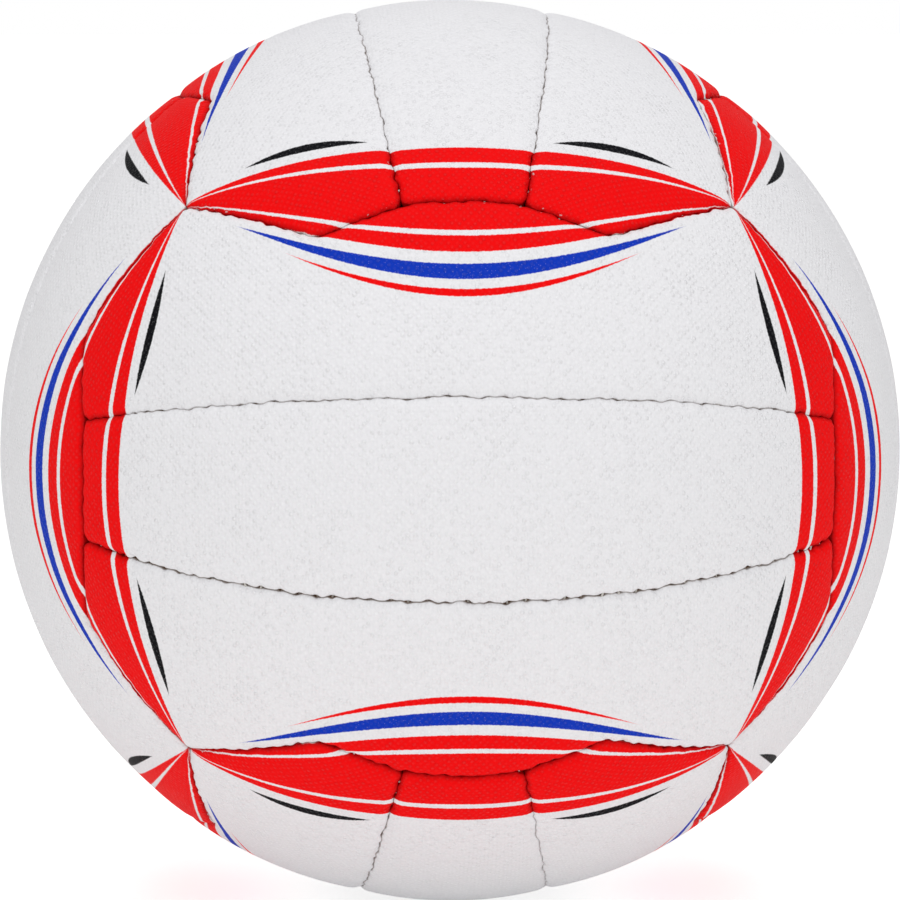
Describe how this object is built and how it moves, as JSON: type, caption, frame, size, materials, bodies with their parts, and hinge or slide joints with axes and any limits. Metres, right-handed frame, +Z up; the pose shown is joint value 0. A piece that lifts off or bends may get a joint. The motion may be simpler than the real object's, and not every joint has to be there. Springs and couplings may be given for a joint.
{
  "type": "netball",
  "caption": "Hand-stitched inflated ball: printed grip panels with turned-in edges over cloth linings, sewn round a bladder with a needle valve.",
  "frame": {"origin": "the ball's centre", "axes": "+Z up, -Y out of the front face, +Y out of the valve's needle hole, +X to the right"},
  "size_m": [0.2228, 0.2227, 0.2228],
  "materials": {
    "grip_cover": "off-white pimpled grip skin, satin, with printed stripes",
    "lining_cloth": "laminated plain-weave cloth",
    "waxed_thread": "twisted waxed polyester thread",
    "bladder_rubber": "smooth matt butyl rubber",
    "valve_rubber": "moulded matt rubber"
  },
  "bodies": {
    "root": {"back_centre_lining": "lining_cloth", "back_centre_panel": "grip_cover", "back_lower_edge_thread": "waxed_thread", "back_lower_lining": "lining_cloth", "back_lower_panel": "grip_cover", "back_strip_threads": "waxed_thread", "back_upper_edge_thread": "waxed_thread", "back_upper_lining": "lining_cloth", "back_upper_panel": "grip_cover", "bladder": "bladder_rubber", "bottom_centre_lining": "lining_cloth", "bottom_centre_panel": "grip_cover", "bottom_left_edge_thread": "waxed_thread", "bottom_left_lining": "lining_cloth", "bottom_left_panel": "grip_cover", "bottom_right_edge_thread": "waxed_thread", "bottom_right_lining": "lining_cloth", "bottom_right_panel": "grip_cover", "bottom_strip_threads": "waxed_thread", "front_centre_lining": "lining_cloth", "front_centre_panel": "grip_cover", "front_lower_edge_thread": "waxed_thread", "front_lower_lining": "lining_cloth", "front_lower_panel": "grip_cover", "front_strip_threads": "waxed_thread", "front_upper_edge_thread": "waxed_thread", "front_upper_lining": "lining_cloth", "front_upper_panel": "grip_cover", "left_back_edge_thread": "waxed_thread", "left_back_lining": "lining_cloth", "left_back_panel": "grip_cover", "left_centre_lining": "lining_cloth", "left_centre_panel": "grip_cover", "left_front_edge_thread": "waxed_thread", "left_front_lining": "lining_cloth", "left_front_panel": "grip_cover", "left_strip_threads": "waxed_thread", "right_back_edge_thread": "waxed_thread", "right_back_lining": "lining_cloth", "right_back_panel": "grip_cover", "right_centre_lining": "lining_cloth", "right_centre_panel": "grip_cover", "right_front_edge_thread": "waxed_thread", "right_front_lining": "lining_cloth", "right_front_panel": "grip_cover", "right_strip_threads": "waxed_thread", "top_centre_lining": "lining_cloth", "top_centre_panel": "grip_cover", "top_left_edge_thread": "waxed_thread", "top_left_lining": "lining_cloth", "top_left_panel": "grip_cover", "top_right_edge_thread": "waxed_thread", "top_right_lining": "lining_cloth", "top_right_panel": "grip_cover", "top_strip_threads": "waxed_thread", "valve_housing": "valve_rubber", "valve_patch": "lining_cloth", "valve_plug": "valve_rubber"}
  },
  "joints": []
}
